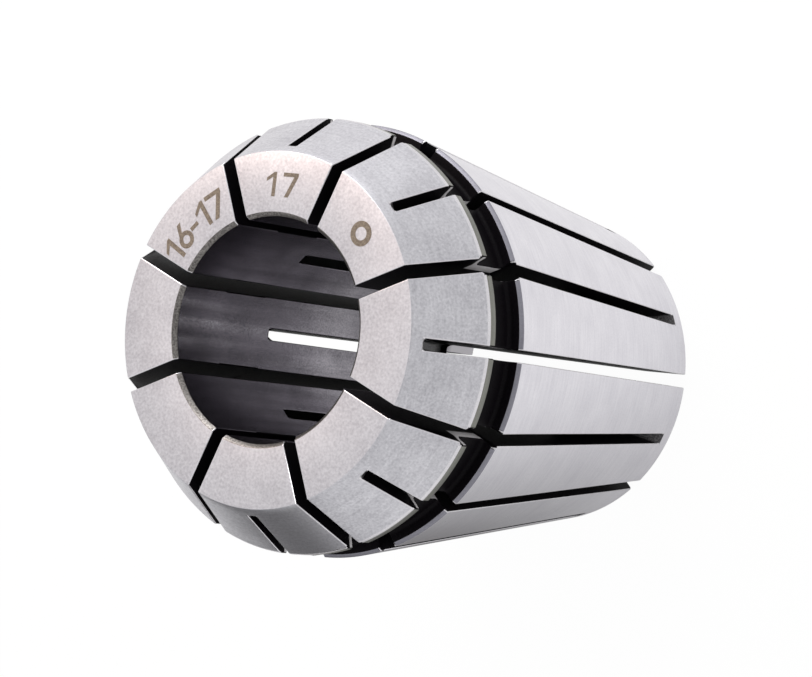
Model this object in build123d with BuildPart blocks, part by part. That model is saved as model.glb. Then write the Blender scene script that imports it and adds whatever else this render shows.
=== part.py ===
from build123d import *

import os
from math import radians, sqrt, tan

# Spring collet, size 32, for a 17 mm shank. Lengths are in millimetres.
# The axis is Z: the small end stands on z = 0 and the clamping nose points up.

# Ground outside
length = 40.0
head_radius = 16.5
nose_half_angle = 30.0
nose_length = 5.45
land_width = 0.85
taper_half_angle = 8.0
gauge_radius = 16.0
gauge_height = 26.0
edge_break = 0.15
rear_break = 0.3

# Extraction groove between the head and the taper
groove_width = 3.3
groove_radius = 15.8
groove_corner = 0.2
groove_wall = 0.5
groove_bevel = 0.25

# Clamping bore
bore_radius = 8.5
bore_chamfer = 0.3

# Saw cuts: one family is open at the nose, the other at the small end
cuts_per_family = 8
saw_radius = 31.5
saw_reach = 7.35
nose_cut_floor = 1.55
rear_cut_floor = 39.1
cut_width_closed = 0.85
cut_width_open = 1.05
cut_margin = 4.0

# Heights and radii that follow from the sizes above
nose_slope = tan(radians(nose_half_angle))
taper_slope = tan(radians(taper_half_angle))
face_radius = head_radius - nose_length * nose_slope
land_top = length - nose_length
groove_top = land_top - land_width
groove_bottom = groove_top - groove_width
bevel_radius = groove_radius + groove_wall
taper_top = groove_bottom - groove_bevel
taper_top_radius = gauge_radius + (taper_top - gauge_height) * taper_slope
rear_radius = gauge_radius - gauge_height * taper_slope
break_drop = edge_break * nose_slope

# Body of revolution: the ring section is drawn beside the axis and turned once round
with BuildPart() as collet:
    with BuildSketch(Plane.XZ) as section:
        with BuildLine():
            Polyline(
                (bore_radius + bore_chamfer, 0),
                (rear_radius - rear_break, 0),
                (rear_radius + rear_break * taper_slope, rear_break),
                (taper_top_radius, taper_top),
                (bevel_radius, groove_bottom),
                (groove_radius, groove_bottom),
                (groove_radius, groove_top),
                (head_radius - edge_break, groove_top),
                (head_radius, groove_top + edge_break),
                (head_radius, land_top - edge_break),
                (head_radius - break_drop, land_top + edge_break),
                (face_radius + break_drop, length - edge_break),
                (face_radius - edge_break, length),
                (bore_radius + bore_chamfer, length),
                (bore_radius, length - bore_chamfer),
                (bore_radius, bore_chamfer),
                close=True,
            )
        make_face()
        groove_corners = section.vertices().filter_by_position(
            Axis.X, groove_radius - edge_break / 2, groove_radius + edge_break / 2
        )
        chamfer(groove_corners, length=groove_corner)
    revolve(axis=Axis.Z)

# Radius where each family of cuts breaks out of the outside, and the saw centres it gives
saw_centre_radius = saw_reach + saw_radius
nose_cut_exit = rear_radius + nose_cut_floor * taper_slope
rear_cut_exit = head_radius - (rear_cut_floor - land_top) * nose_slope
nose_saw_height = nose_cut_floor + sqrt(saw_radius**2 - (saw_centre_radius - nose_cut_exit) ** 2)
rear_saw_height = rear_cut_floor - sqrt(saw_radius**2 - (saw_centre_radius - rear_cut_exit) ** 2)

cut_outer = head_radius + cut_margin
cut_depth = cut_outer - saw_reach
cut_offset = saw_reach + cut_depth / 2

# Nose cuts: the disc saw is fed in on one side and run out through the nose face.
# The walls part slightly towards the open end, because the fingers are set outwards.
nose_run = length + cut_margin - nose_saw_height
with BuildPart() as nose_cut:
    with BuildSketch(Plane.XZ):
        with Locations((saw_centre_radius, nose_saw_height)):
            Circle(saw_radius)
        with Locations((saw_centre_radius, nose_saw_height + nose_run / 2)):
            Rectangle(2 * saw_radius, nose_run)
        with Locations((cut_offset, length / 2)):
            Rectangle(cut_depth, 2 * length, mode=Mode.INTERSECT)
    extrude(amount=cut_width_open, both=True)
    with BuildSketch(Plane.YZ.offset(saw_reach)):
        with BuildLine():
            Polyline(
                (-cut_width_closed / 2, 0),
                (cut_width_closed / 2, 0),
                (cut_width_open / 2, length),
                (cut_width_open / 2, length + cut_margin),
                (-cut_width_open / 2, length + cut_margin),
                (-cut_width_open / 2, length),
                close=True,
            )
        make_face()
    extrude(amount=cut_depth, mode=Mode.INTERSECT)

# Rear cuts: the same saw, run out through the small end
rear_run = rear_saw_height + cut_margin
with BuildPart() as rear_cut:
    with BuildSketch(Plane.XZ):
        with Locations((saw_centre_radius, rear_saw_height)):
            Circle(saw_radius)
        with Locations((saw_centre_radius, rear_saw_height - rear_run / 2)):
            Rectangle(2 * saw_radius, rear_run)
        with Locations((cut_offset, length / 2)):
            Rectangle(cut_depth, 2 * length, mode=Mode.INTERSECT)
    extrude(amount=cut_width_open, both=True)
    with BuildSketch(Plane.YZ.offset(saw_reach)):
        with BuildLine():
            Polyline(
                (-cut_width_closed / 2, length),
                (cut_width_closed / 2, length),
                (cut_width_open / 2, 0),
                (cut_width_open / 2, -cut_margin),
                (-cut_width_open / 2, -cut_margin),
                (-cut_width_open / 2, 0),
                close=True,
            )
        make_face()
    extrude(amount=cut_depth, mode=Mode.INTERSECT)

# Both families go round the axis in turn, half a pitch apart
half_pitch = 180 / cuts_per_family
with collet:
    with PolarLocations(0, cuts_per_family, start_angle=half_pitch):
        add(nose_cut.part, mode=Mode.SUBTRACT)
    with PolarLocations(0, cuts_per_family):
        add(rear_cut.part, mode=Mode.SUBTRACT)

collet.part.label = "collet"
os.makedirs("parts", exist_ok=True)
export_step(collet.part, "parts/collet.step")
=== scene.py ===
"""Spring collet, size 32: the finish of a ground, saw-cut and heat-treated spring-steel sleeve."""

import math

import bmesh
import bpy
import numpy as np
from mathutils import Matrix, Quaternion, Vector


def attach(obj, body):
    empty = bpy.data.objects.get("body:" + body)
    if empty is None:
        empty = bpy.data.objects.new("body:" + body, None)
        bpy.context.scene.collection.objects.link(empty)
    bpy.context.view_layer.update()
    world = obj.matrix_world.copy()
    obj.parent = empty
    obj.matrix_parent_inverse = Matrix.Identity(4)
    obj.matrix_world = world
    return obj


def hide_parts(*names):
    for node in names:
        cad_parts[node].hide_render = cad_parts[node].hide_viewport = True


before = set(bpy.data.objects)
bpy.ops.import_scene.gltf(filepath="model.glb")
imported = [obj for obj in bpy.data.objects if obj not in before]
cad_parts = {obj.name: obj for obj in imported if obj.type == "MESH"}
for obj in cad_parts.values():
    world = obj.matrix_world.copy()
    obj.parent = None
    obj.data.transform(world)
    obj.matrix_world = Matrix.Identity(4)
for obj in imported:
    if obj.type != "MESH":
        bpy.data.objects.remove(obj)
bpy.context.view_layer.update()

MM = 0.001

# ---------------------------------------------------------------- sizes, in millimetres
LENGTH = 40.0
HEAD_RADIUS = 16.5
NOSE_HALF_ANGLE = 30.0
NOSE_LENGTH = 5.45
LAND_WIDTH = 0.85
TAPER_HALF_ANGLE = 8.0
GAUGE_RADIUS = 16.0
GAUGE_HEIGHT = 26.0
GROOVE_WIDTH = 3.3
# The groove is 0.4 mm deeper here than in the solid, inside the solid's box
GROOVE_RADIUS = 15.4
GROOVE_WALL = 0.9
GROOVE_BEVEL = 0.25
BORE_RADIUS = 8.5
BORE_CHAMFER = 0.3

CUTS_PER_FAMILY = 8
SAW_RADIUS = 31.5
SAW_REACH = 7.35
NOSE_CUT_FLOOR = 1.55
REAR_CUT_FLOOR = 39.1
CUT_WIDTH_CLOSED = 0.85
CUT_WIDTH_OPEN = 1.05

# The marks lie this far above the face, whose height makes room for them inside the solid's box
MARK_LIFT = 0.01

# Breaks of the ring section's corners: how far from the corner each rounding starts
REAR_MOUTH_BREAK = 0.04
REAR_BREAK = 0.25
TAPER_BREAK = 0.05
GROOVE_WALL_BREAK = 0.04
GROOVE_CORNER = 0.35
LAND_BREAK = 0.06
HEAD_BREAK = 0.16
FACE_BREAK = 0.025
MOUTH_BREAK = 0.03

# A break shorter than FINE_ARC gets fewer points
FINE_ARC = 0.1
FINE_ARC_POINTS = 3
ARC_POINTS = 7

# Corners of the fingers beside the groove, and the shares of their radius that get stations
CORNER_RADIUS = 0.2
CORNER_STEPS = (0.05, 0.18, 0.4, 0.7, 1.0)

# Roundings of the cuts' edges: wall to floor, wall to outside, and the edge nearest the camera,
# which starts this far above the land
FLOOR_ROUNDING = 0.27
EDGE_ROUNDING = 0.08
NEAR_EDGE_ROUNDING = 0.17
NEAR_EDGE_START = 0.5
ROUNDING_SEGMENTS = 3
ROUNDING_MARGIN = 0.006
WELD = 0.0002

# Grid: an edge longer than LONG_EDGE gets EVEN_STATIONS, as shares at least STATION_GAP from the cuts' exits
LONG_EDGE = 5.0
EVEN_STATIONS = 9
STATION_GAP = 0.03
FINGER_COLUMNS = 13
FLOOR_STATIONS = 13
BRIDGE_COLUMNS = 3

NOSE_SLOPE = math.tan(math.radians(NOSE_HALF_ANGLE))
TAPER_SLOPE = math.tan(math.radians(TAPER_HALF_ANGLE))
FACE_RADIUS = HEAD_RADIUS - NOSE_LENGTH * NOSE_SLOPE
LAND_TOP = LENGTH - NOSE_LENGTH
GROOVE_TOP = LAND_TOP - LAND_WIDTH
GROOVE_BOTTOM = GROOVE_TOP - GROOVE_WIDTH
TAPER_TOP = GROOVE_BOTTOM - GROOVE_BEVEL
REAR_RADIUS = GAUGE_RADIUS - GAUGE_HEIGHT * TAPER_SLOPE
TAPER_TOP_RADIUS = REAR_RADIUS + TAPER_TOP * TAPER_SLOPE
HALF_PITCH = math.pi / CUTS_PER_FAMILY

SAW_CENTRE_RADIUS = SAW_REACH + SAW_RADIUS


def saw_rise(radius):
    """Height from the saw's centre to its rim, at this radius from the collet's axis: sqrt(R^2 - (C - r)^2)."""
    return np.sqrt(SAW_RADIUS**2 - (SAW_CENTRE_RADIUS - radius) ** 2)


NOSE_EXIT_RADIUS = REAR_RADIUS + NOSE_CUT_FLOOR * TAPER_SLOPE
REAR_EXIT_RADIUS = HEAD_RADIUS - (REAR_CUT_FLOOR - LAND_TOP) * NOSE_SLOPE
NOSE_SAW_HEIGHT = NOSE_CUT_FLOOR + saw_rise(NOSE_EXIT_RADIUS)
REAR_SAW_HEIGHT = REAR_CUT_FLOOR - saw_rise(REAR_EXIT_RADIUS)
NOSE_BORE_EXIT = NOSE_SAW_HEIGHT - saw_rise(BORE_RADIUS)
REAR_BORE_EXIT = REAR_SAW_HEIGHT + saw_rise(BORE_RADIUS)

# ---------------------------------------------------------------- materials


def linear(hex_colour):
    """sRGB hex, such as "c8c6c4", turned to the linear colour that a socket takes."""
    parts = [int(hex_colour[i : i + 2], 16) / 255 for i in (0, 2, 4)]
    return tuple(c / 12.92 if c <= 0.04045 else ((c + 0.055) / 1.055) ** 2.4 for c in parts) + (1.0,)


def add(tree, kind, inputs=None, **settings):
    """Adds one node. Settings are its own properties; inputs are values or the sockets that feed it."""
    node = tree.nodes.new(kind)
    for name, value in settings.items():
        setattr(node, name, value)
    for name, value in (inputs or {}).items():
        socket = node.inputs[name]
        if isinstance(value, bpy.types.NodeSocket):
            tree.links.new(value, socket)
        else:
            socket.default_value = value
    return node


def new_material(name):
    """An empty material, its node tree and its shader."""
    material = bpy.data.materials.new(name)
    material.use_nodes = True
    return material, material.node_tree, material.node_tree.nodes["Principled BSDF"]


# The part of a noise's range that holds nearly all of it
NOISE_LOW, NOISE_HIGH = 0.3, 0.7


def noise_to(low, high):
    """Map Range inputs that take the middle of a noise's range to low and high."""
    return {"From Min": NOISE_LOW, "From Max": NOISE_HIGH, "To Min": low, "To Max": high}


def from_to(start, end):
    """Map Range inputs that give 0 at the start and 1 at the end, two lengths in millimetres."""
    low, high = min(start, end) * MM, max(start, end) * MM
    first, last = (0.0, 1.0) if end > start else (1.0, 0.0)
    return {"From Min": low, "From Max": high, "To Min": first, "To Max": last}


def round_axis(tree):
    """The shaded place as its offset from the collet's axis, that offset's length, and its height."""
    place = add(tree, "ShaderNodeTexCoord").outputs["Object"]
    flat = add(tree, "ShaderNodeVectorMath", {0: place, 1: (1, 1, 0)}, operation="MULTIPLY").outputs[0]
    radius = add(tree, "ShaderNodeVectorMath", {0: flat}, operation="LENGTH").outputs["Value"]
    return flat, radius, add(tree, "ShaderNodeSeparateXYZ", {0: place}).outputs["Z"]


def turned_grain(tree, along, line_mm, arc_mm):
    """Noise drawn out round the axis, as a wheel or a turning tool leaves it.

    The place is read as (direction from the axis, distance along the cut): line_mm is the spacing of
    the lines across the cut, arc_mm how far one line runs before it fades.
    """
    flat, radius, height = round_axis(tree)
    turns = HEAD_RADIUS / arc_mm
    direction = add(tree, "ShaderNodeVectorMath", {0: flat}, operation="NORMALIZE").outputs[0]
    arcs = add(tree, "ShaderNodeVectorMath", {0: direction, 1: (turns, turns, 0)}, operation="MULTIPLY")
    run = radius if along == "radius" else height
    lines = add(tree, "ShaderNodeMath", {0: run, 1: 1 / (line_mm * MM)}, operation="MULTIPLY")
    across = add(tree, "ShaderNodeCombineXYZ", {"Z": lines.outputs[0]})
    vector = add(tree, "ShaderNodeVectorMath", {0: arcs.outputs[0], 1: across.outputs[0]}, operation="ADD")
    settings = {"Vector": vector.outputs[0], "Scale": 1.0, "Detail": 3.0, "Roughness": 0.6}
    return add(tree, "ShaderNodeTexNoise", settings).outputs["Fac"]


def cloud(tree, size_mm, detail, roughness, offset=(0, 0, 0)):
    """Even noise with patches of about size_mm."""
    place = add(tree, "ShaderNodeTexCoord").outputs["Object"]
    moved = add(tree, "ShaderNodeVectorMath", {0: place, 1: offset}, operation="ADD").outputs[0]
    settings = {"Vector": moved, "Scale": 1 / (size_mm * MM), "Detail": detail, "Roughness": roughness}
    return add(tree, "ShaderNodeTexNoise", settings).outputs["Fac"]


# Depth of the grinding marks, and the broad patches under them
MARK_DEPTH = 0.004
PATCH_SIZE = 3.0
PATCH_OFFSET = (0.1, 0.2, 0.3)


def ground_steel(
    name, pale, dark, along, line_mm, roughness, grain_mm=0.14, grains=0.5, lines=0.3, arc_mm=4.0
):
    """Hardened spring steel, ground with a fine wheel: fine lines over a satin grain.

    A line is line_mm across and arc_mm long round the axis, so a short arc and a wide line run along it.
    Grains and lines are their shares of the mixed noise, and broad patches have what is left.
    """
    material, tree, shader = new_material(name)
    turning = turned_grain(tree, along, line_mm, arc_mm)
    fine = cloud(tree, grain_mm, 2.0, 0.6)
    broad = cloud(tree, PATCH_SIZE, 2.0, 0.5, PATCH_OFFSET)
    mixed = 0.0
    for noise, share in ((fine, grains), (turning, lines), (broad, 1 - grains - lines)):
        inputs = {0: noise, 1: share, 2: mixed}
        mixed = add(tree, "ShaderNodeMath", inputs, operation="MULTIPLY_ADD").outputs[0]
    tone = add(tree, "ShaderNodeMapRange", {"Value": mixed, **noise_to(0.0, 1.0)}).outputs[0]
    inputs = {0: tone, 6: linear(dark), 7: linear(pale)}
    colour = add(tree, "ShaderNodeMix", inputs, data_type="RGBA").outputs[2]
    tree.links.new(colour, shader.inputs["Base Color"])
    inputs = {"Value": mixed, **noise_to(roughness + 0.06, roughness - 0.04)}
    tree.links.new(add(tree, "ShaderNodeMapRange", inputs).outputs[0], shader.inputs["Roughness"])
    relief = add(tree, "ShaderNodeBump", {"Strength": 1.0, "Distance": MARK_DEPTH * MM, "Height": mixed})
    tree.links.new(relief.outputs[0], shader.inputs["Normal"])
    shader.inputs["Metallic"].default_value = 1.0
    return material


# Ground spring steel: the long taper, satin with faint bands round it
taper_steel = ground_steel(
    "ground_taper_steel", "ebe9ee", "d2d0d7", "height", line_mm=0.22, roughness=0.30, grains=0.3, lines=0.4
)
# The nose cone, ground across a coarser wheel: bluish, with short strokes round it
cone_steel = ground_steel(
    "ground_nose_steel", "dedde2", "abaab0", "height", line_mm=0.25, roughness=0.36, grain_mm=0.2, lines=0.25
)
# The face and the small end, lapped flat: warm grey with a fine even grain
face_steel = ground_steel(
    "lapped_face_steel",
    "dedbdf",
    "b2afb4",
    "radius",
    line_mm=0.18,
    roughness=0.42,
    grain_mm=0.22,
    grains=0.6,
    lines=0.1,
)
# The bore, honed, darker than the outside steel, with light streaks along it that are painted highlights
bore_steel = ground_steel(
    "honed_bore_steel",
    "c2bec5",
    "6f6c73",
    "height",
    line_mm=12.0,
    roughness=0.2,
    grains=0.45,
    lines=0.25,
    arc_mm=0.9,
)
# The taper's narrow front bevel, dulled by a stone
bevel_steel = ground_steel(
    "stoned_bevel_steel", "9a99a2", "82818a", "height", line_mm=0.22, roughness=0.55, grains=0.4, lines=0.3
)
# The turned land beside the groove, left from the lathe: a greenish grey
land_steel = ground_steel(
    "turned_land_steel", "8f8f88", "686963", "height", line_mm=0.07, roughness=0.34, grains=0.2, lines=0.7
)
# The chamfer at the bore's mouth, cut with a rough tool
mouth_steel = ground_steel(
    "turned_mouth_steel", "9a9693", "403d3c", "height", line_mm=0.05, roughness=0.42, grains=0.8, lines=0.1
)
# Edges broken on a brush: bright and smooth
edge_steel = ground_steel(
    "brushed_edge_steel", "e6e4e7", "cac8cd", "height", line_mm=0.1, roughness=0.28, grains=0.6, lines=0.1
)

# Painted light: a cut's wall is painted pale outside this radius and below this height, down to the groove's
# bottom, where light falls on it
LIT_PATCH_RADIUS, LIT_PATCH_TOP, LIT_PATCH_FADE = 14.4, 34.1, 0.12
LIT_PATCH_SHARE = 0.9


def furnace_scale(name, lit_patch=False):
    """Black scale from hardening, a thin oxide with a dull sheen, and on a wall beside the groove a pale patch
    of painted light.
    """
    material, tree, shader = new_material(name)
    grains = cloud(tree, 0.12, 3.0, 0.7)
    tone = add(tree, "ShaderNodeMapRange", {"Value": grains, **noise_to(0.0, 1.0)}).outputs[0]
    inputs = {0: tone, 6: linear("050406"), 7: linear("131014")}
    colour = add(tree, "ShaderNodeMix", inputs, data_type="RGBA").outputs[2]
    # Painted light: the wall beside the groove is mixed towards pale grey, a pool of light painted into its
    # colour
    if lit_patch:
        _, radius, height = round_axis(tree)
        lit_share = LIT_PATCH_SHARE
        for value, start, end in (
            (radius, LIT_PATCH_RADIUS, LIT_PATCH_RADIUS + LIT_PATCH_FADE),
            (height, LIT_PATCH_TOP, LIT_PATCH_TOP - LIT_PATCH_FADE),
            (height, GROOVE_BOTTOM, GROOVE_BOTTOM + LIT_PATCH_FADE),
        ):
            inside = add(tree, "ShaderNodeMapRange", {"Value": value, **from_to(start, end)}).outputs[0]
            lit_share = add(tree, "ShaderNodeMath", {0: inside, 1: lit_share}, operation="MULTIPLY").outputs[0]
        inputs = {0: lit_share, 6: colour, 7: linear("dedcde")}
        colour = add(tree, "ShaderNodeMix", inputs, data_type="RGBA").outputs[2]
    tree.links.new(colour, shader.inputs["Base Color"])
    sheen = add(tree, "ShaderNodeMapRange", {"Value": grains, **noise_to(0.50, 0.36)}).outputs[0]
    tree.links.new(sheen, shader.inputs["Roughness"])
    shader.inputs["Specular IOR Level"].default_value = 0.05
    return material


# The cuts' walls: black scale, with a patch of painted light beside the groove
wall_scale_and_lit_patch = furnace_scale("furnace_scale_with_painted_light", lit_patch=True)
groove_scale = furnace_scale("furnace_scale_on_steel")

# Distances outside the bore between which a cut's floor goes from painted shade, black, to grey
FLOOR_BLACK, FLOOR_GREY = 0.4, 1.1
# Share of the grey that shows on the floors near the small end; the rest of them is black
FLOOR_DIM = 0.2


def sawn_floor():
    """A cut's floor: grey specks of sawn steel outside, dimmer near the small end, and black near the bore,
    painted shade deep in the cut.
    """
    material, tree, shader = new_material("sawn_floor_steel")
    _, radius, height = round_axis(tree)
    # Painted shade: the floor goes black towards the bore, deep inside the cut
    inputs = {"Value": radius, **from_to(BORE_RADIUS + FLOOR_BLACK, BORE_RADIUS + FLOOR_GREY)}
    outside = add(tree, "ShaderNodeMapRange", inputs).outputs[0]
    inputs = {"Value": height, **from_to(LENGTH / 2, LENGTH / 2 + 1)}
    upper = add(tree, "ShaderNodeMapRange", inputs).outputs[0]
    share = add(tree, "ShaderNodeMath", {0: upper, 1: FLOOR_DIM}, operation="MAXIMUM").outputs[0]
    lit_share = add(tree, "ShaderNodeMath", {0: outside, 1: share}, operation="MULTIPLY").outputs[0]
    inputs = {"Value": cloud(tree, 0.12, 4.0, 0.8), **noise_to(0.0, 1.0)}
    specks = add(tree, "ShaderNodeMapRange", inputs).outputs[0]
    inputs = {0: specks, 6: linear("2c2a2d"), 7: linear("e6e4e7")}
    sawn = add(tree, "ShaderNodeMix", inputs, data_type="RGBA").outputs[2]
    inputs = {0: lit_share, 6: linear("050406"), 7: sawn}
    colour = add(tree, "ShaderNodeMix", inputs, data_type="RGBA").outputs[2]
    tree.links.new(colour, shader.inputs["Base Color"])
    tree.links.new(lit_share, shader.inputs["Metallic"])
    shader.inputs["Specular IOR Level"].default_value = 0.0
    shader.inputs["Roughness"].default_value = 0.5
    return material


floor_steel = sawn_floor()

# Heights between which the bore goes from honed to painted light, towards the small end
LIT_END_START, LIT_END_FULL = 4.2, 3.4


def painted_lit_end(material, pale):
    """Lightens a steel towards the small end: painted light, where light comes in at the bore's open end."""
    tree = material.node_tree
    colour = tree.nodes["Principled BSDF"].inputs["Base Color"]
    _, _, height = round_axis(tree)
    lit_end_mask = add(tree, "ShaderNodeMapRange", {"Value": height, **from_to(LIT_END_START, LIT_END_FULL)}).outputs[0]
    inputs = {0: lit_end_mask, 6: colour.links[0].from_socket, 7: linear(pale)}
    tree.links.new(add(tree, "ShaderNodeMix", inputs, data_type="RGBA").outputs[2], colour)


# Painted light: the bore's small end is lightened to pale grey
painted_lit_end(bore_steel, "d4d1d6")


def etched_mark():
    """Laser-etched steel: a brown-grey oxide a few microns deep, mottled by the beam."""
    material, tree, shader = new_material("etched_mark_oxide")
    inputs = {"Value": cloud(tree, 0.15, 3.0, 0.7), **noise_to(0.0, 1.0)}
    tone = add(tree, "ShaderNodeMapRange", inputs).outputs[0]
    inputs = {0: tone, 6: linear("564b42"), 7: linear("8d8070")}
    colour = add(tree, "ShaderNodeMix", inputs, data_type="RGBA").outputs[2]
    tree.links.new(colour, shader.inputs["Base Color"])
    shader.inputs["Metallic"].default_value = 0.3
    shader.inputs["Roughness"].default_value = 0.6
    return material


etched = etched_mark()

# The last slot only marks the rounded edges until each is given the surface beside it
SURFACES = {
    "taper": taper_steel,
    "cone": cone_steel,
    "face": face_steel,
    "bore": bore_steel,
    "bevel": bevel_steel,
    "land": land_steel,
    "mouth": mouth_steel,
    "edge": edge_steel,
    "cut": wall_scale_and_lit_patch,
    "groove": groove_scale,
    "floor": floor_steel,
    "rounding": edge_steel,
}
SLOT_OF = {name: index for index, name in enumerate(SURFACES)}

# ---------------------------------------------------------------- the collet's ring section


def ring_section():
    """The closed outline of the ring section as (radius, height) stations, and each station's surface.

    The corners are joined by straight edges. A corner with a break of length b is an arc that touches
    both edges at b from the corner: centre on the bisector, radius b / tan(turn / 2).
    """
    top = LENGTH - MARK_LIFT
    corners = [
        (BORE_RADIUS + BORE_CHAMFER, 0.0, REAR_MOUTH_BREAK, "mouth", "face"),
        (REAR_RADIUS, 0.0, REAR_BREAK, "edge", "taper"),
        (TAPER_TOP_RADIUS, TAPER_TOP, TAPER_BREAK, "bevel", "bevel"),
        (GROOVE_RADIUS + GROOVE_WALL, GROOVE_BOTTOM, GROOVE_WALL_BREAK, "groove", "groove"),
        (GROOVE_RADIUS, GROOVE_BOTTOM, GROOVE_CORNER, "groove", "groove"),
        (GROOVE_RADIUS, GROOVE_TOP, GROOVE_CORNER, "groove", "groove"),
        (HEAD_RADIUS, GROOVE_TOP, LAND_BREAK, "land", "land"),
        (HEAD_RADIUS, LAND_TOP, HEAD_BREAK, "edge", "cone"),
        (FACE_RADIUS, top, FACE_BREAK, "cone", "face"),
        (BORE_RADIUS + BORE_CHAMFER, top, MOUTH_BREAK, "mouth", "mouth"),
        (BORE_RADIUS, top - BORE_CHAMFER, MOUTH_BREAK, "mouth", "bore"),
        (BORE_RADIUS, BORE_CHAMFER, MOUTH_BREAK, "mouth", "mouth"),
    ]
    points, names = [], []
    count = len(corners)
    for i, (r, z, length, arc_name, edge_name) in enumerate(corners):
        here = np.array((r, z))
        before = np.array(corners[i - 1][:2]) - here
        after = np.array(corners[(i + 1) % count][:2]) - here
        room = np.linalg.norm(after)
        before, after = before / np.linalg.norm(before), after / room
        turn = math.pi - math.acos(np.clip(before @ after, -1, 1))
        arc_radius = length / math.tan(turn / 2)
        bisector = (before + after) / np.linalg.norm(before + after)
        centre = here + bisector * arc_radius / math.cos(turn / 2)
        start, end = here + before * length - centre, here + after * length - centre
        angle0 = math.atan2(start[1], start[0])
        sweep = (math.atan2(end[1], end[0]) - angle0 + math.pi) % (2 * math.pi) - math.pi
        arc_points = FINE_ARC_POINTS if length < FINE_ARC else ARC_POINTS
        angles = angle0 + sweep * np.linspace(0.0, 1.0, arc_points)
        arc = centre + arc_radius * np.stack([np.cos(angles), np.sin(angles)], axis=1)
        points.extend(arc)
        names.extend([arc_name] * (len(arc) - 1) + [edge_name])
        follow = corners[(i + 1) % count]
        edge_start, edge_end = arc[-1], np.array(follow[:2]) - after * follow[2]
        for split in edge_splits(edge_name, edge_start, edge_end):
            points.append(edge_start + (edge_end - edge_start) * split)
            names.append(edge_name)
    return np.array(points), names


def edge_splits(name, start, end):
    """Fractions at which a long edge gets stations: evenly, and where the saw cuts break through."""
    rise = end[1] - start[1]
    if abs(rise) < LONG_EDGE and name != "cone":
        return []
    wanted = {"taper": [NOSE_CUT_FLOOR], "cone": [REAR_CUT_FLOOR], "bore": [REAR_BORE_EXIT, NOSE_BORE_EXIT]}
    wanted["taper"] += [TAPER_TOP - CORNER_RADIUS * step for step in CORNER_STEPS]
    wanted["cone"] += [LAND_TOP + CORNER_RADIUS * step for step in CORNER_STEPS]
    exact = [(z - start[1]) / rise for z in wanted.get(name, [])]
    exact = [fraction for fraction in exact if 0.0 < fraction < 1.0]
    even = np.linspace(0, 1, EVEN_STATIONS)[1:-1]
    even = [share for share in even if all(abs(share - other) > STATION_GAP for other in exact)]
    return sorted(exact + even)


def half_width(z, family):
    """Half the width of a cut at this height: its walls part evenly towards the family's open end."""
    open_share = z / LENGTH if family == "nose" else 1 - z / LENGTH
    return (CUT_WIDTH_CLOSED + (CUT_WIDTH_OPEN - CUT_WIDTH_CLOSED) * open_share) / 2


def corner_relief(points):
    """How far a finger's corner stands back from a nose cut beside the groove.

    On the cone and the taper it is a quarter circle, R - sqrt(R^2 - (R - d)^2) at a distance d from the
    rim. From the rim down to the groove's floor it runs out evenly.
    """
    r, z = points[:, 0], points[:, 1]
    d = np.where(z > GROOVE_BOTTOM + GROOVE_WIDTH / 2, z - LAND_TOP, TAPER_TOP - z)
    inner = np.clip(CORNER_RADIUS - d, 0.0, CORNER_RADIUS)
    arc = CORNER_RADIUS - np.sqrt(CORNER_RADIUS**2 - inner**2)
    out = np.clip((r - GROOVE_RADIUS) / GROOVE_WALL, 0.0, 1.0)
    return np.where(r > BORE_RADIUS + BORE_CHAMFER, arc * out, 0.0)


def wall_angle(points, family):
    """The angle between a cut's middle plane and its wall, seen from the axis: arcsin(half width / r)."""
    relief = corner_relief(points) if family == "nose" else 0.0
    return np.arcsin((half_width(points[:, 1], family) + relief) / points[:, 0])


def turned(points, angles):
    """Stations (r, z) turned to each of their angles: (r cos a, r sin a, z), in metres."""
    r, z = points[:, :1], points[:, 1:]
    return np.stack([r * np.cos(angles), r * np.sin(angles), z + 0 * angles], axis=-1) * MM


def strip_faces(rows, columns, closed, flip):
    """Quads between neighbouring rows of a rows x columns grid, as corner indices."""
    i = np.arange(rows if closed else rows - 1)[:, None]
    j = np.arange(columns - 1)[None, :]
    k = (i + 1) % rows
    corners = (i * columns + j, i * columns + j + 1, k * columns + j + 1, k * columns + j)
    quads = np.stack(np.broadcast_arrays(*corners), -1).reshape(-1, 4)
    return quads[:, ::-1] if flip else quads


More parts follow.
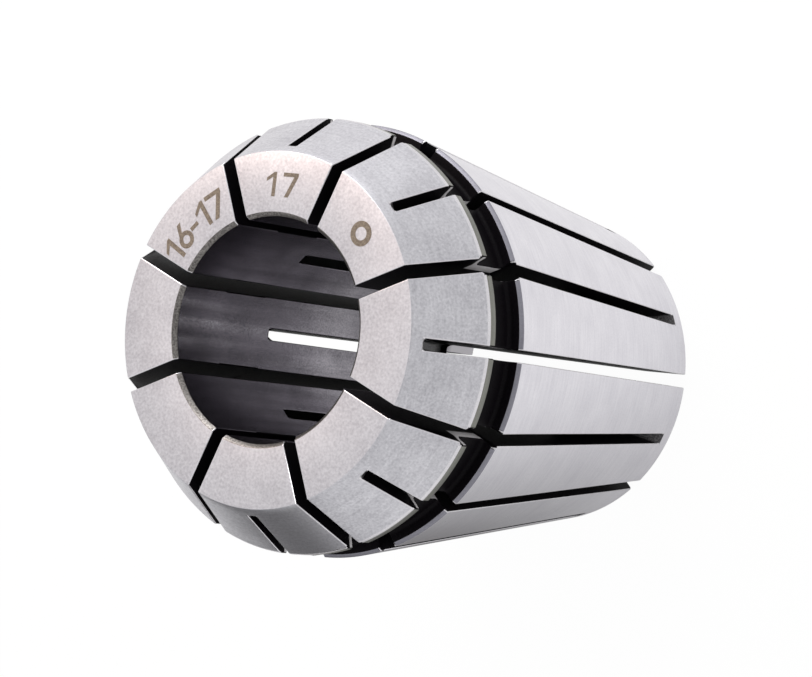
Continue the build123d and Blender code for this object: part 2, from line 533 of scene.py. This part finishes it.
def build_collet():
    """The sleeve: sixteen fingers between the cuts, and the bridges that join them at the closed ends."""
    points, names = ring_section()
    count = len(points)

    def station(r, z):
        return int(np.argmin(np.hypot(points[:, 0] - r, points[:, 1] - z)))

    taper_exit = station(NOSE_EXIT_RADIUS, NOSE_CUT_FLOOR)
    cone_exit = station(REAR_EXIT_RADIUS, REAR_CUT_FLOOR)
    nose_bore = station(BORE_RADIUS, NOSE_BORE_EXIT)
    rear_bore = station(BORE_RADIUS, REAR_BORE_EXIT)

    # floors of the cuts: the saw's rim from the outside exit to the bore
    inwards = np.linspace(0.0, 1.0, FLOOR_STATIONS)[1:-1]
    nose_r = NOSE_EXIT_RADIUS + (BORE_RADIUS - NOSE_EXIT_RADIUS) * inwards
    rear_r = REAR_EXIT_RADIUS + (BORE_RADIUS - REAR_EXIT_RADIUS) * inwards
    nose_floor = np.stack([nose_r, NOSE_SAW_HEIGHT - saw_rise(nose_r)], 1)
    rear_floor = np.stack([rear_r, REAR_SAW_HEIGHT + saw_rise(rear_r)], 1)

    vertices, faces, slots = [], [], []
    total = 0

    def push(grid, quads, face_slots):
        nonlocal total
        vertices.append(grid.reshape(-1, 3))
        faces.extend((quads + total).tolist())
        slots.extend(face_slots)
        total += grid.shape[0] * grid.shape[1]

    def push_wall(ring, angles, flip):
        nonlocal total
        grid = turned(ring, angles[:, None])
        vertices.append(grid.reshape(-1, 3))
        order = np.arange(len(ring)) + total
        faces.append((order[::-1] if flip else order).tolist())
        slots.append(SLOT_OF["cut"])
        total += len(ring)

    across = np.linspace(0.0, 1.0, FINGER_COLUMNS)
    near, far = wall_angle(points, "nose"), wall_angle(points, "rear")
    edge_slots = [SLOT_OF[n] for n in names]
    nose_open = np.arange(taper_exit, nose_bore + 1)
    rear_open = np.concatenate([np.arange(rear_bore, count), np.arange(0, cone_exit + 1)])
    for index in range(CUTS_PER_FAMILY):
        middle = HALF_PITCH * (2 * index + 1)
        for side in (1, -1):
            flip = side < 0
            start, stop = near[:, None], HALF_PITCH - far[:, None]
            angles = middle + side * (start + (stop - start) * across)
            grid = turned(points, angles)
            quads = strip_faces(count, len(across), True, not flip)
            push(grid, quads, np.repeat(edge_slots, len(across) - 1).tolist())
            ring = np.concatenate([points[nose_open], nose_floor[::-1]])
            push_wall(ring, middle + side * wall_angle(ring, "nose"), flip)
            ring = np.concatenate([points[rear_open], rear_floor])
            push_wall(ring, middle + side * (HALF_PITCH - wall_angle(ring, "rear")), not flip)

    # bridges: the same outline carried across each cut where the saw left it whole, with the floor
    span = np.linspace(-1.0, 1.0, BRIDGE_COLUMNS)
    nose_whole = np.concatenate([np.arange(nose_bore, count), np.arange(0, taper_exit + 1)])
    rear_whole = np.arange(cone_exit, rear_bore + 1)
    for family, whole, floor, first, flip_floor in (
        ("nose", nose_whole, nose_floor, HALF_PITCH, False),
        ("rear", rear_whole, rear_floor, 0.0, True),
    ):
        outline = points[whole]
        ends = (outline[-1:], outline[:1]) if family == "nose" else (outline[:1], outline[-1:])
        rim = np.concatenate([ends[0], floor, ends[1]])
        bridge_slots = np.repeat([edge_slots[i] for i in whole[:-1]], len(span) - 1).tolist()
        for index in range(CUTS_PER_FAMILY):
            middle = first + 2 * HALF_PITCH * index
            grid = turned(outline, middle + wall_angle(outline, family)[:, None] * span)
            push(grid, strip_faces(len(outline), len(span), False, True), bridge_slots)
            grid = turned(rim, middle + wall_angle(rim, family)[:, None] * span)
            quads = strip_faces(len(rim), len(span), False, not flip_floor)
            push(grid, quads, [SLOT_OF["floor"]] * len(quads))

    mesh = bpy.data.meshes.new("collet_body")
    mesh.from_pydata(np.concatenate(vertices).tolist(), [], faces)
    for material in SURFACES.values():
        mesh.materials.append(material)
    mesh.polygons.foreach_set("material_index", np.array(slots, dtype=np.int32))
    work = bmesh.new()
    work.from_mesh(mesh)
    bmesh.ops.remove_doubles(work, verts=work.verts, dist=WELD * MM)
    bmesh.ops.recalc_face_normals(work, faces=work.faces)
    work.to_mesh(mesh)
    work.free()
    mesh.shade_smooth()
    return rounded(mesh)


def edge_roundings(mesh):
    """The rounding of each edge, from the surfaces of its two faces. Only edges of the cuts are rounded."""
    loop_edges = np.empty(len(mesh.loops), dtype=np.int32)
    mesh.loops.foreach_get("edge_index", loop_edges)
    sides = np.empty(len(mesh.polygons), dtype=np.int32)
    mesh.polygons.foreach_get("loop_total", sides)
    slots = np.empty(len(mesh.polygons), dtype=np.int32)
    mesh.polygons.foreach_get("material_index", slots)
    loop_slots = np.repeat(slots, sides)
    pairs = loop_slots[np.argsort(loop_edges, kind="stable")].reshape(-1, 2)
    wall, floor = (pairs == SLOT_OF["cut"]), (pairs == SLOT_OF["floor"])
    ends = np.empty(len(mesh.edges) * 2, dtype=np.int32)
    mesh.edges.foreach_get("vertices", ends)
    places = np.empty(len(mesh.vertices) * 3)
    mesh.vertices.foreach_get("co", places)
    middles = places.reshape(-1, 3)[ends.reshape(-1, 2)].mean(1) / MM
    mixed = wall.any(1) & ~wall.all(1) | floor.any(1) & ~floor.all(1)
    widths = np.where(mixed, EDGE_ROUNDING, 0.0)
    on_cone = (middles[:, 0] > 0) & (middles[:, 1] > 0) & (middles[:, 1] < CUT_WIDTH_OPEN)
    on_cone &= middles[:, 2] > LAND_TOP + NEAR_EDGE_START
    widths = np.where(mixed & on_cone & ~floor.any(1), NEAR_EDGE_ROUNDING, widths)
    return np.where(wall.any(1) & floor.any(1), FLOOR_ROUNDING, widths)


def inside_cut(places):
    """Whether a place lies in the gap of a cut: nearer its middle plane than half its width there."""
    r, z = np.hypot(places[:, 0], places[:, 1]), places[:, 2]
    angle = np.arctan2(places[:, 1], places[:, 0])
    found = np.zeros(len(places), dtype=bool)
    for family, first in (("nose", HALF_PITCH), ("rear", 0.0)):
        turn = (angle - first + HALF_PITCH) % (2 * HALF_PITCH) - HALF_PITCH
        found |= np.abs(r * np.sin(turn)) < half_width(z, family) - ROUNDING_MARGIN
    return found


def rounded(mesh):
    """The body with its edges rounded, each rounding taking the surface that lies beside it."""
    widths = edge_roundings(mesh)
    weights = mesh.attributes.new("bevel_weight_edge", "FLOAT", "EDGE")
    weights.data.foreach_set("value", (widths / FLOOR_ROUNDING).astype(np.float32))
    draft = bpy.data.objects.new("collet_draft", mesh)
    bpy.context.scene.collection.objects.link(draft)
    rounding = draft.modifiers.new("rounded_edges", "BEVEL")
    rounding.width = FLOOR_ROUNDING * MM
    rounding.segments = ROUNDING_SEGMENTS
    rounding.limit_method = "WEIGHT"
    rounding.use_clamp_overlap = False
    rounding.harden_normals = True
    rounding.material = SLOT_OF["rounding"]
    depsgraph = bpy.context.evaluated_depsgraph_get()
    body_mesh = bpy.data.meshes.new_from_object(draft.evaluated_get(depsgraph))
    bpy.data.objects.remove(draft)

    slots = np.empty(len(body_mesh.polygons), dtype=np.int32)
    body_mesh.polygons.foreach_get("material_index", slots)
    centres = np.empty(len(body_mesh.polygons) * 3)
    body_mesh.polygons.foreach_get("center", centres)
    centres = centres.reshape(-1, 3) / MM
    r, z = np.hypot(centres[:, 0], centres[:, 1]), centres[:, 2]
    beside = np.full(len(slots), SLOT_OF["edge"])
    beside[r < BORE_RADIUS + BORE_CHAMFER / 2] = SLOT_OF["bore"]
    beside[(z > TAPER_TOP + GROOVE_BEVEL / 2) & (z < LAND_TOP - LAND_WIDTH / 2)] = SLOT_OF["groove"]
    beside[inside_cut(centres)] = SLOT_OF["floor"]
    slots = np.where(slots == SLOT_OF["rounding"], beside, slots).astype(np.int32)
    body_mesh.polygons.foreach_set("material_index", slots)
    body_mesh.materials.pop(index=SLOT_OF["rounding"])
    body_mesh.name = "collet_body"
    body = bpy.data.objects.new("collet_body", body_mesh)
    bpy.context.scene.collection.objects.link(body)
    return body


collet = build_collet()
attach(collet, "root")
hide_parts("collet")

# ---------------------------------------------------------------- marks on the face

# Each character's strokes as closed outlines (right, up) in millimetres from the middle of its own width
STROKES = {
    "1": [
        [(0.13, -0.92), (0.45, -0.92), (0.45, 0.92), (0.22, 0.92), (-0.45, 0.44), (-0.45, 0.17), (0.13, 0.55)]
    ],
    "7": [
        [(-0.7, 0.92), (0.7, 0.92), (0.7, 0.66), (-0.09, -0.92), (-0.46, -0.92), (0.3, 0.62), (-0.7, 0.62)]
    ],
    "-": [[(-0.36, 0.0), (0.36, 0.0), (0.36, -0.28), (-0.36, -0.28)]],
    "6": [[(-0.58, -0.3), (-0.3, -0.3), (0.42, 0.92), (0.06, 0.92)]],
}
# A six has a round bowl as well, and its tail lies TAIL_DROP under the bowl
BOWL_OUTER, BOWL_INNER, BOWL_UP = 0.6, 0.29, -0.32
TAIL_DROP = 0.003
CIRCLE_POINTS = 40


def circle_band(inner, outer, up=0.0):
    """A flat ring as two circles, radius q: (q cos a, up + q sin a)."""
    a = np.linspace(0, 2 * np.pi, CIRCLE_POINTS + 1)[:-1]
    rings = [np.stack([q * np.cos(a), up + q * np.sin(a)], 1) for q in (inner, outer)]
    return np.stack(rings, 1).reshape(-1, 2), strip_faces(len(a), 2, True, False)


def etch(name, outlines, bands, angle_deg, radius):
    """Etched strokes on the face, centred at an angle round the axis, their tops turned outwards."""
    angle = math.radians(angle_deg)
    outwards = np.array((math.cos(angle), math.sin(angle)))
    rightwards = np.array((math.sin(angle), -math.cos(angle)))
    vertices, faces, total = [], [], 0
    drop = TAIL_DROP if bands else 0.0
    shapes = [(np.array(outline)[::-1], [list(range(len(outline)))], drop) for outline in outlines]
    shapes += [(points, quads.tolist(), 0.0) for points, quads in bands]
    for outline, polygons, drop in shapes:
        place = outwards * (radius + outline[:, 1:]) + rightwards * outline[:, :1]
        vertices.append(np.concatenate([place, np.full((len(place), 1), LENGTH - drop)], 1) * MM)
        faces += [[corner + total for corner in polygon] for polygon in polygons]
        total += len(outline)
    mesh = bpy.data.meshes.new(name)
    mesh.from_pydata(np.concatenate(vertices).tolist(), [], faces)
    work = bmesh.new()
    work.from_mesh(mesh)
    for face in work.faces:
        face.normal_update()
        if face.normal.z < 0:
            face.normal_flip()
    work.to_mesh(mesh)
    work.free()
    mesh.materials.append(etched)
    mark = bpy.data.objects.new(name, mesh)
    bpy.context.scene.collection.objects.link(mark)
    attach(mark, "root")


def etch_arc(name, characters, rights, angle_deg, radius, size):
    """Characters along an arc, each at its own distance to the right of the row's middle."""
    for index, (character, right) in enumerate(zip(characters, rights)):
        outlines = [np.array(outline) * size for outline in STROKES[character]]
        bowl = circle_band(BOWL_INNER * size, BOWL_OUTER * size, BOWL_UP * size)
        turn = math.degrees(right / radius)
        etch(f"{name}_{index}", outlines, [bowl] if character == "6" else [], angle_deg - turn, radius)


def etch_pair(name, characters, rights, angle_deg, radius):
    """Characters side by side on one straight line."""
    outlines = []
    for character, right in zip(characters, rights):
        outlines += [np.array(outline) + (right, 0) for outline in STROKES[character]]
    etch(name, outlines, [], angle_deg, radius)


etch_pair("etched_size", "17", (-1.03, 0.76), angle_deg=89.0, radius=10.85)
etch_arc("etched_range", "16-17", (-2.75, -1.3, -0.08, 1.0, 2.45), angle_deg=136.0, radius=10.75, size=1.16)
etch("etched_ring", [], [circle_band(0.5, 0.95)], angle_deg=44.0, radius=11.0)

# ---------------------------------------------------------------- stage, light and camera


def linked_plane(name, corners, material):
    """A flat stage piece from four corners in metres."""
    mesh = bpy.data.meshes.new(name)
    mesh.from_pydata(corners, [], [(0, 1, 2, 3)])
    mesh.materials.append(material)
    plane = bpy.data.objects.new(name, mesh)
    bpy.context.scene.collection.objects.link(plane)
    return plane


FLOOR_HALF = 3.0
FLOOR_WHITE = 0.97
FLOOR_MIRRORED = 0.88
# The table is greyer round this place, in the object's shade, where only the steel mirrors it
SHADE_AT = (-0.008, -0.024, 0.0)
SHADE_REACH = 0.038
SHADE_DARKEST, SHADE_NONE = 0.05, 0.95


def white_table():
    """A matt white table. The camera and the steel see part of it as its own even glow, shaded at one place."""
    material, tree, shader = new_material("white_table")
    shader.inputs["Base Color"].default_value = linear("f4f4f4")
    shader.inputs["Roughness"].default_value = 0.9
    path = add(tree, "ShaderNodeLightPath").outputs
    place = add(tree, "ShaderNodeTexCoord").outputs["Object"]
    away = add(tree, "ShaderNodeVectorMath", {0: place, 1: SHADE_AT}, operation="DISTANCE").outputs["Value"]
    inputs = {"Value": away, "From Max": SHADE_REACH, "To Min": SHADE_DARKEST, "To Max": SHADE_NONE}
    shade = add(tree, "ShaderNodeMapRange", inputs).outputs[0]
    strength = add(tree, "ShaderNodeMath", {0: path["Is Camera Ray"], 1: shade}, operation="MAXIMUM")
    glow = add(tree, "ShaderNodeEmission", {"Color": (1, 1, 1, 1), "Strength": strength.outputs[0]})
    inputs = {0: path["Is Glossy Ray"], 1: path["Is Transmission Ray"]}
    mirrored = add(tree, "ShaderNodeMath", inputs, operation="MAXIMUM")
    inputs = {0: mirrored.outputs[0], 1: FLOOR_MIRRORED}
    mirrored = add(tree, "ShaderNodeMath", inputs, operation="MULTIPLY")
    seen = add(tree, "ShaderNodeMath", {0: path["Is Camera Ray"], 1: FLOOR_WHITE}, operation="MULTIPLY")
    share = add(tree, "ShaderNodeMath", {0: seen.outputs[0], 1: mirrored.outputs[0]}, operation="MAXIMUM")
    inputs = {0: share.outputs[0], 1: shader.outputs[0], 2: glow.outputs[0]}
    mixer = add(tree, "ShaderNodeMixShader", inputs)
    tree.links.new(mixer.outputs[0], tree.nodes["Material Output"].inputs["Surface"])
    return material


floor_corners = [(x * FLOOR_HALF, y * FLOOR_HALF, 0) for x, y in ((-1, -1), (1, -1), (1, 1), (-1, 1))]
linked_plane("floor", floor_corners, white_table())

# Black cards: one beside the object, outside the camera's view, and one behind the camera
card_paint, _, shader = new_material("black_card")
shader.inputs["Base Color"].default_value = linear("1a1a1c")
shader.inputs["Roughness"].default_value = 0.9
CARD_Y, CARD_TOP, CARD_LEFT, CARD_RIGHT = -0.060, 0.036, -0.09, -0.005
card_corners = [
    (CARD_LEFT, CARD_Y, 0),
    (CARD_RIGHT, CARD_Y, 0),
    (CARD_RIGHT, CARD_Y, CARD_TOP),
    (CARD_LEFT, CARD_Y, CARD_TOP),
]
linked_plane("side_card", card_corners, card_paint)

# Light tent: its strength changes evenly with direction, brighter above and on the far side
TENT_MEAN, TENT_SIDE, TENT_UP = 0.80, -0.04, 0.12
world = bpy.data.worlds.new("light_tent")
bpy.context.scene.world = world
world.use_nodes = True
tree = world.node_tree
way = add(tree, "ShaderNodeSeparateXYZ", {0: add(tree, "ShaderNodeTexCoord").outputs["Generated"]}).outputs
level = TENT_MEAN
for axis, rise in (("Y", TENT_SIDE), ("Z", TENT_UP)):
    level = add(tree, "ShaderNodeMath", {0: way[axis], 1: rise, 2: level}, operation="MULTIPLY_ADD").outputs[0]
tree.links.new(level, tree.nodes["Background"].inputs["Strength"])
tree.nodes["Background"].inputs["Color"].default_value = (1, 1, 1, 1)


def softbox(name, place, aim, side, power, colour="ffffff"):
    """A square area lamp at a place in metres, turned to its aim."""
    lamp = bpy.data.lights.new(name, "AREA")
    lamp.color = linear(colour)[:3]
    lamp.shape = "RECTANGLE"
    lamp.size = lamp.size_y = side
    lamp.energy = power
    holder = bpy.data.objects.new(name, lamp)
    holder.location = place
    holder.rotation_mode = "QUATERNION"
    holder.rotation_quaternion = (Vector(aim) - Vector(place)).to_track_quat("-Z", "Y")
    bpy.context.scene.collection.objects.link(holder)


softbox("key_lamp", place=(-0.12, 0.58, 0.36), aim=(0, 0, 0.02), side=0.45, power=3.2)
softbox("face_lamp", place=(-0.09, 0.11, 0.15), aim=(0, 0.005, 0.04), side=0.1, power=0.12, colour="ffe4d2")

CAMERA_AT = Vector((0.178945, -0.006205, 0.27201))
LOOK_AT = Vector((-0.000893, 0.000839, 0.020662))
CAMERA_ROLL = math.radians(-82.07)
SENSOR_MM = 36.0
LENS_MM = 174.91
CLIP_START = 0.01

camera_data = bpy.data.cameras.new("camera")
camera_data.sensor_width = SENSOR_MM
camera_data.lens = LENS_MM
camera_data.clip_start = CLIP_START
camera = bpy.data.objects.new("camera", camera_data)
camera.location = CAMERA_AT
camera.rotation_mode = "QUATERNION"
aimed = (LOOK_AT - CAMERA_AT).to_track_quat("-Z", "Y")
camera.rotation_quaternion = aimed @ Quaternion((0, 0, 1), CAMERA_ROLL)
bpy.context.scene.collection.objects.link(camera)

# The card behind the camera reaches further to its right, where the taper's bevel mirrors it
BACK_CARD_LEFT, BACK_CARD_RIGHT, BACK_CARD_HALF = -0.02, 0.12, 0.05
BACK_CARD_GAP = 0.01
back = CAMERA_AT - (LOOK_AT - CAMERA_AT).normalized() * BACK_CARD_GAP
turn = camera.rotation_quaternion
sides = [(BACK_CARD_LEFT, -1), (BACK_CARD_RIGHT, -1), (BACK_CARD_RIGHT, 1), (BACK_CARD_LEFT, 1)]
back_corners = [back + turn @ Vector((u, v * BACK_CARD_HALF, 0)) for u, v in sides]
linked_plane("back_card", back_corners, card_paint)
bpy.context.scene.camera = camera
bpy.context.scene.view_settings.view_transform = "Standard"
